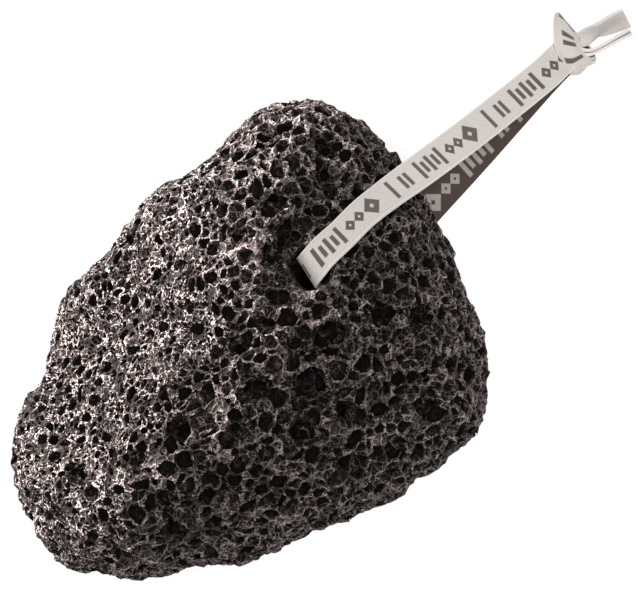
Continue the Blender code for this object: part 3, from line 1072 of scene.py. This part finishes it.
def stone_material(settings):
    """Dark lava with pale dust on films, threads and rims, and light and shade painted by openness and
    patches.
    """
    made, tree, shader = new_material("lava_pumice")
    n = Nodes(tree)
    seen, flank, dust_loss_and_shade_share = (n.stored(name) for name in ("open", "fine", "dust_loss_and_painted_shade"))
    place = n.add("ShaderNodeTexCoord").outputs["Object"]
    film = n.film_distance(bent_space(n, place), FILM_SCALE)
    thread = n.maths("ABSOLUTE", n.maths("SUBTRACT", n.noise(place, THREAD_SCALE, 0.0), 0.5))
    grit = n.noise(place, GRIT_SCALE, 2.0, 0.7)
    patches = n.noise(place, PATCH_SCALE, 3.0, 0.6)

    thread_lines = n.maths("MULTIPLY", n.ramp(thread, *THREAD_LINE), THREAD_LINE_SHARE)
    lines = n.maths("MAXIMUM", n.ramp(film, *FILM_LINE), thread_lines)
    # Painted shade: the dust thins where a point sees less sky. Painted highlight, with dust: open rims
    # get the pale colour.
    dust_and_painted_light = n.maths("MULTIPLY", lines, n.ramp(seen, *DUST_BY_OPENNESS))
    rims = n.maths("MULTIPLY", n.ramp(seen, *RIM_BY_OPENNESS), n.ramp(flank, 0.0, 1.0, *RIM_DUST_AND_HIGHLIGHT))
    dust_and_painted_light = n.maths("ADD", dust_and_painted_light, rims)
    broken = n.blend(flank, n.ramp(grit, *GRIT_ON_FACE), n.ramp(grit, *GRIT_ON_FLANK))
    dust_and_painted_light = n.maths("MULTIPLY", dust_and_painted_light, broken)
    patched = n.blend(flank, n.ramp(patches, *PATCH_ON_FACE), n.ramp(patches, *PATCH_ON_FLANK))
    dust_and_painted_light = n.maths("MULTIPLY", dust_and_painted_light, patched)
    # Less dust on the coarse side of the ridge, and painted shade in the listed patches.
    dust_loss_and_shade = n.maths("MULTIPLY", dust_loss_and_shade_share, n.ramp(patches, *DUST_LOSS_AND_SHADE_BY_PATCH))
    dust_and_painted_light = n.maths("MULTIPLY", dust_and_painted_light, n.maths("SUBTRACT", 1.0, dust_loss_and_shade), clamp=True)
    # Painted shade: the lava darkens towards the deep shade colour where a point sees less sky.
    lava = n.mix(n.ramp(seen, *LAVA_BY_OPENNESS), rgba(settings.deep_shade_colour), rgba(settings.lava_colour))
    n.feed(shader.inputs["Base Color"], n.mix(dust_and_painted_light, lava, rgba(settings.dust_and_rim_light_colour)))
    shader.inputs["Roughness"].default_value = 0.92
    shader.inputs["Specular IOR Level"].default_value = 0.25

    thread_pits = n.maths("MULTIPLY", n.ramp(thread, *THREAD_PIT), THREAD_PIT_SHARE)
    pits = n.bump(n.maths("ADD", n.ramp(film, *FILM_PIT), thread_pits), PIT_DEPTH)
    n.feed(shader.inputs["Normal"], n.bump(grit, GRIT_HEIGHT, under=pits))
    return made


class PUMICE_OT_stone(bpy.types.Operator):
    """Cuts the cells into the stone's lump and gives it its lava finish."""

    bl_idname = "pumice.stone"
    bl_label = "Pumice Stone"

    def execute(self, context):
        settings = context.scene.pumice_stone
        rng = np.random.default_rng(STONE_SEED)
        stone = stone_blank(settings)
        cut(stone, cell_cutter(
            "foam_cells", foam_cells(stone, rng), settings.wall, settings.roughness, rng,
            lambda radius: 3 if radius > FINE_BALL_RADIUS else 2, SWELL, DEPTHS,
        ))
        cut(stone, cell_cutter(
            "small_cells", small_cells(stone, rng), SMALL_WALL, settings.roughness, rng,
            lambda radius: 1, SMALL_SWELL, SMALL_DEPTHS,
        ))
        thin(stone, settings)
        settle(stone)
        openness(stone)
        dust_loss_and_painted_shade(stone)
        stone.data.materials.clear()
        stone.data.materials.append(stone_material(settings))
        take(stone)
        bpy.ops.object.shade_smooth_by_angle(angle=math.radians(STONE_SMOOTH_DEG))
        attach(stone, "root")
        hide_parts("stone")
        return {"FINISHED"}


# ---------------------------------------------------------------- studio
def add_light(name, place, aim, size, power):
    light = bpy.data.lights.new(name, "AREA")
    light.shape = "DISK"
    light.size = size
    light.energy = power
    lamp = bpy.data.objects.new(name, light)
    bpy.context.scene.collection.objects.link(lamp)
    lamp.location = place
    lamp.rotation_euler = (Vector(aim) - Vector(place)).to_track_quat("-Z", "Y").to_euler()
    return lamp


def keep_from_key(piece):
    """Leaves a piece out of the low key light, which would burn it out."""
    away = bpy.data.collections["away_from_key"]
    away.objects.link(piece)
    away.collection_objects[-1].light_linking.link_state = "EXCLUDE"


class PUMICE_OT_studio(bpy.types.Operator):
    """Sets the camera over the stone, the pale floor and the soft lights."""

    bl_idname = "pumice.studio"
    bl_label = "Camera, Floor and Lights"

    def execute(self, context):
        settings = context.scene.pumice_studio
        lens = bpy.data.cameras.new("camera")
        lens.sensor_width = SENSOR_WIDTH
        lens.lens = SENSOR_WIDTH * VIEW_DISTANCE / VIEW_WIDTH
        lens.clip_start, lens.clip_end = 0.01, 10.0
        camera = bpy.data.objects.new("camera", lens)
        camera.location = CAMERA_PLACE
        context.scene.collection.objects.link(camera)
        context.scene.camera = camera

        deselect()
        bpy.ops.mesh.primitive_grid_add(x_subdivisions=24, y_subdivisions=24, size=FLOOR_SIZE)
        floor = context.object
        floor.name = floor.data.name = "studio_floor"
        made, tree, shader = new_material("floor_paper")
        n = Nodes(tree)
        place = n.add("ShaderNodeTexCoord").outputs["Object"]
        greys = [rgba([grey] * 3) for grey in FLOOR_GREYS]
        n.feed(shader.inputs["Base Color"], n.mix(n.noise(place, 900.0), *greys))
        shader.inputs["Roughness"].default_value = 0.9
        floor.data.materials.append(made)

        low, round_by = settings.key_elevation, settings.key_azimuth
        key_place = (
            KEY_DISTANCE * math.cos(low) * math.cos(round_by),
            KEY_DISTANCE * math.cos(low) * math.sin(round_by),
            KEY_DISTANCE * math.sin(low),
        )
        key = add_light("key", key_place, STONE_MIDDLE, KEY_SIZE, settings.key_power)
        add_light("fill", FILL_PLACE, STONE_MIDDLE, FILL_SIZE, settings.fill_power)
        ground = add_light(
            "floor_light", FLOOR_LIGHT_PLACE, FLOOR_LIGHT_AIM, FLOOR_LIGHT_SIZE, settings.floor_power,
        )
        key.light_linking.receiver_collection = bpy.data.collections.new("away_from_key")
        keep_from_key(floor)
        glow = add_light("ribbon_glow", GLOW_PLACE, GLOW_AIM, GLOW_SIZE, settings.ribbon_power)
        glow.light_linking.receiver_collection = bpy.data.collections.new("ribbon_only")
        only_floor = bpy.data.collections.new("floor_only")
        only_floor.objects.link(floor)
        ground.light_linking.receiver_collection = only_floor
        ground.light_linking.blocker_collection = only_floor

        world = bpy.data.worlds.new("studio")
        world.use_nodes = True
        world.node_tree.nodes["Background"].inputs["Color"].default_value = SKY_COLOUR
        world.node_tree.nodes["Background"].inputs["Strength"].default_value = SKY_STRENGTH
        context.scene.world = world
        context.scene.view_settings.view_transform = "Standard"
        return {"FINISHED"}


class PUMICE_PT_panel(bpy.types.Panel):
    """Lists each piece's settings and the buttons that build it."""

    bl_idname = "PUMICE_PT_panel"
    bl_label = "Pumice Stone"
    bl_space_type = "VIEW_3D"
    bl_region_type = "UI"
    bl_category = "Pumice"

    def draw(self, context):
        layout = self.layout
        for title, group, operators in (
            ("Stone", context.scene.pumice_stone, (PUMICE_OT_stone,)),
            ("Ribbon", context.scene.pumice_ribbon, (PUMICE_OT_ribbon_loop, PUMICE_OT_ribbon_knot)),
            ("Studio", context.scene.pumice_studio, (PUMICE_OT_studio,)),
        ):
            box = layout.box()
            box.label(text=title)
            for key in group.bl_rna.properties.keys():
                if key not in {"rna_type", "name"}:
                    box.prop(group, key)
            for operator in operators:
                box.operator(operator.bl_idname)


CLASSES = (
    StoneSettings, RibbonSettings, StudioSettings, PUMICE_OT_stone, PUMICE_OT_ribbon_loop,
    PUMICE_OT_ribbon_knot, PUMICE_OT_studio, PUMICE_PT_panel,
)


def register():
    for kind in CLASSES:
        bpy.utils.register_class(kind)
    bpy.types.Scene.pumice_stone = PointerProperty(type=StoneSettings)
    bpy.types.Scene.pumice_ribbon = PointerProperty(type=RibbonSettings)
    bpy.types.Scene.pumice_studio = PointerProperty(type=StudioSettings)


def unregister():
    for name in ("pumice_stone", "pumice_ribbon", "pumice_studio"):
        delattr(bpy.types.Scene, name)
    for kind in reversed(CLASSES):
        bpy.utils.unregister_class(kind)


def main():
    register()
    bpy.ops.pumice.studio()
    bpy.ops.pumice.ribbon_loop()
    bpy.ops.pumice.ribbon_knot()
    bpy.ops.pumice.stone()


if __name__ == "__main__":
    main()
